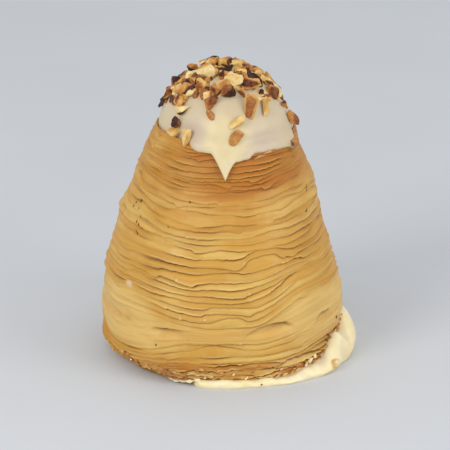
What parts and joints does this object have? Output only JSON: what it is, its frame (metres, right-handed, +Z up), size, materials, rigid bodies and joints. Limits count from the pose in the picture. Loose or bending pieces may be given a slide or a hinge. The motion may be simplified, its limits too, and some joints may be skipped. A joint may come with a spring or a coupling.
{
  "type": "sfogliatella",
  "caption": "Bell-shaped flaky pastry of stacked thin layers, with a cream cap, a pointed drip, chopped nuts, and filling spread at its foot.",
  "frame": {"origin": "centre of the bell's base, on the flat underside that it stands on", "axes": "+Z up along the bell's axis towards the cream cap, the front with the drip faces -Y, +X to the right of the front view"},
  "size_m": [0.0804, 0.0748, 0.0947],
  "materials": {
    "baked_layers": "thin baked pastry layers, golden tan, satin",
    "cap_cream": "smooth pale cream with chopped roasted nuts",
    "filling_cream": "soft yellow cream filling, slightly glossy"
  },
  "bodies": {
    "root": {"pastry_bell": "baked_layers", "cream_cap": "cap_cream", "filling": "filling_cream"}
  },
  "joints": []
}
